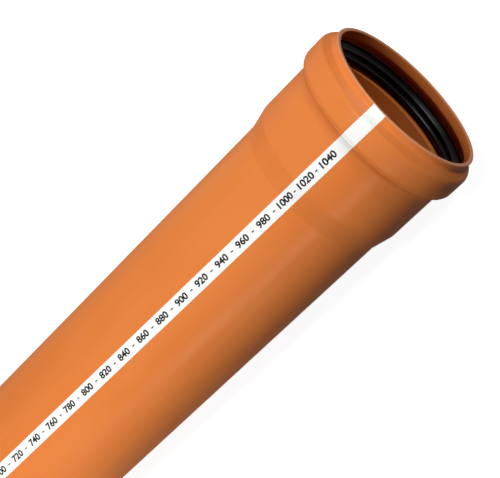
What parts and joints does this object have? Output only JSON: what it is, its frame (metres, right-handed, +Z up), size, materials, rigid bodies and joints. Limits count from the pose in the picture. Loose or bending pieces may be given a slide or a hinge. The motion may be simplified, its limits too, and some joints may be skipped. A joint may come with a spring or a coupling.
{
  "type": "pvc pipe",
  "caption": "Straight push-fit drain pipe with a socket formed at one end, a rubber sealing ring in the socket's groove and a chamfered plain end.",
  "frame": {"origin": "half way along the pipe, on the level floor that the socket's widest part rests on", "axes": "+X along the pipe's axis, out of its socket; +Z up"},
  "size_m": [1.0854, 0.1266, 0.1269],
  "materials": {
    "pipe_plastic": "satin",
    "ring_rubber": "satin",
    "white_print": "satin",
    "black_print": "satin"
  },
  "bodies": {
    "root": {"pipe": "pipe_plastic", "seal_ring": "ring_rubber"}
  },
  "joints": []
}
